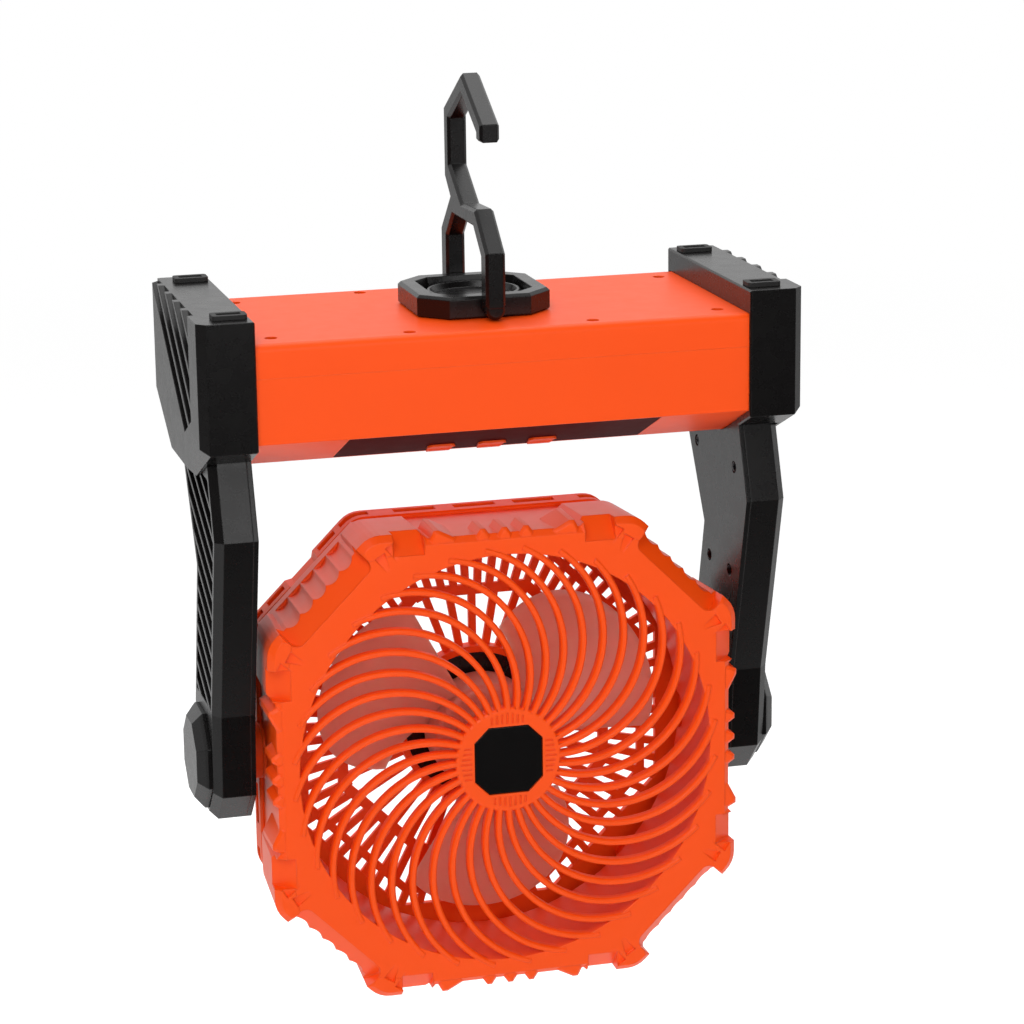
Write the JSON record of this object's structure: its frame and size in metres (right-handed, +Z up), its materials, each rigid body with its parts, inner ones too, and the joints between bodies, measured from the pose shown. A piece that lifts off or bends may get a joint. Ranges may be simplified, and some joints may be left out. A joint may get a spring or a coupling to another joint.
{
  "type": "portable camping fan",
  "caption": "Portable fan whose octagonal spiral-grille head tilts between two arms on a battery base, with a folding hook for hanging and feet for standing.",
  "frame": {"origin": "seat of the hook's throat, where the fan hangs from", "axes": "+Z up as it hangs, +X along the base to the viewer's right, -Y the way the grille faces and the air blows"},
  "size_m": [0.2512, 0.1094, 0.3787],
  "materials": {
    "orange": "fine matt moulded",
    "black": "fine matt moulded",
    "panel": "glossy",
    "foot": "matt",
    "blade": "translucent",
    "steel": "plain",
    "motor": "plain",
    "bush": "smooth",
    "holder": "plain moulded",
    "cell": "shrink-wrapped",
    "board": "lacquered"
  },
  "bodies": {
    "hook": {"hook": "black"},
    "ring": {"hook_ring": "black", "hook_pins": "steel"},
    "base": {"base_cover": "orange", "base_housing": "orange", "base_screws": "steel", "battery_holder": "holder", "battery_cells": "cell", "circuit_board": "board", "charge_port": "steel", "control_panel": "panel", "left_end_cap": "black", "right_end_cap": "black", "feet": "foot", "left_arm": "black", "right_arm": "black", "left_arm_cover": "black", "right_arm_cover": "black", "arm_screws": "steel", "left_bush": "bush", "right_bush": "bush", "left_pivot_cap": "black", "right_pivot_cap": "black", "ring_dish": "black", "ring_screw": "steel"},
    "left_button": {"button_left": "orange"},
    "middle_button": {"button_middle": "orange"},
    "right_button": {"button_right": "orange"},
    "head": {"front_grille": "orange", "hub_plate": "black", "rear_cover": "orange", "head_screws": "steel", "left_pivot": "orange", "right_pivot": "orange", "motor_mount": "black", "motor": "motor", "motor_screws": "steel"},
    "impeller": {"impeller": "blade", "motor_shaft": "steel"}
  },
  "joints": [
    {"name": "hook_fold", "type": "hinge", "parent": "hook", "child": "ring", "pos_m": [0, 0, -0.08335], "axis": [0, 1, 0], "range_deg": [-90, 90]},
    {"name": "base_swivel", "type": "hinge", "parent": "ring", "child": "base", "pos_m": [0, 0, -0.088], "axis": [0, 0, 1], "continuous": true},
    {"name": "head_tilt", "type": "hinge", "parent": "base", "child": "head", "pos_m": [0, -0.002, -0.2705], "axis": [1, 0, 0], "range_deg": [-135, 135]},
    {"name": "blade_spin", "type": "hinge", "parent": "head", "child": "impeller", "pos_m": [0, -0.002, -0.2705], "axis": [0, 1, 0], "continuous": true},
    {"name": "left_button_press", "type": "slide", "parent": "base", "child": "left_button", "axis": [0, 0.4037, 0.9149], "range_m": [0, 0.001], "stiffness_N_per_m": 800},
    {"name": "middle_button_press", "type": "slide", "parent": "base", "child": "middle_button", "axis": [0, 0.4037, 0.9149], "range_m": [0, 0.001], "stiffness_N_per_m": 800},
    {"name": "right_button_press", "type": "slide", "parent": "base", "child": "right_button", "axis": [0, 0.4037, 0.9149], "range_m": [0, 0.001], "stiffness_N_per_m": 800}
  ]
}
